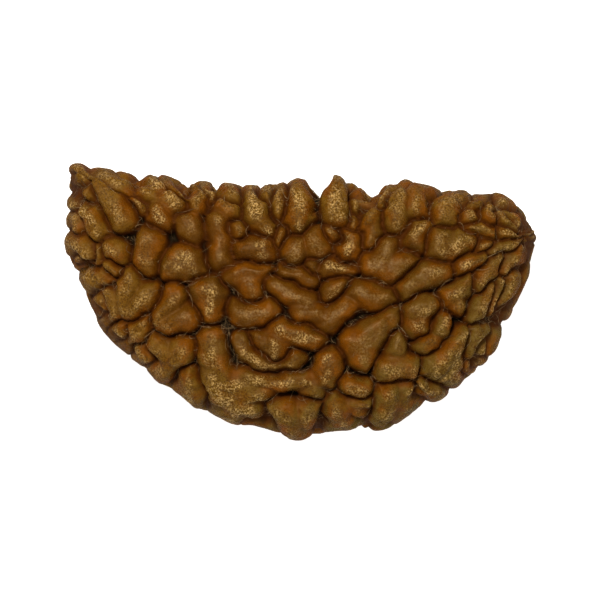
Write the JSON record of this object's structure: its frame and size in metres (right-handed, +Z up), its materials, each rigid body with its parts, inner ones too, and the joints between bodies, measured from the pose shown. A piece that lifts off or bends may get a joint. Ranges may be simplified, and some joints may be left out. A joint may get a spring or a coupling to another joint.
{
  "type": "half moon one mukhi rudraksha bead",
  "caption": "Half moon rudraksha, a dried fruit stone with a deeply lobed brown surface and one seam along its curved rim, lying on its broad face.",
  "frame": {"origin": "middle of the box around the bead, at the height of the flats it lies on", "axes": "+X towards the narrow tip, along the length; +Y towards the straight edge; +Z up, out of the face seen from above"},
  "size_m": [0.0402, 0.0236, 0.0144],
  "materials": {
    "stone": "satin"
  },
  "bodies": {
    "root": {"bead": "stone"}
  },
  "joints": []
}
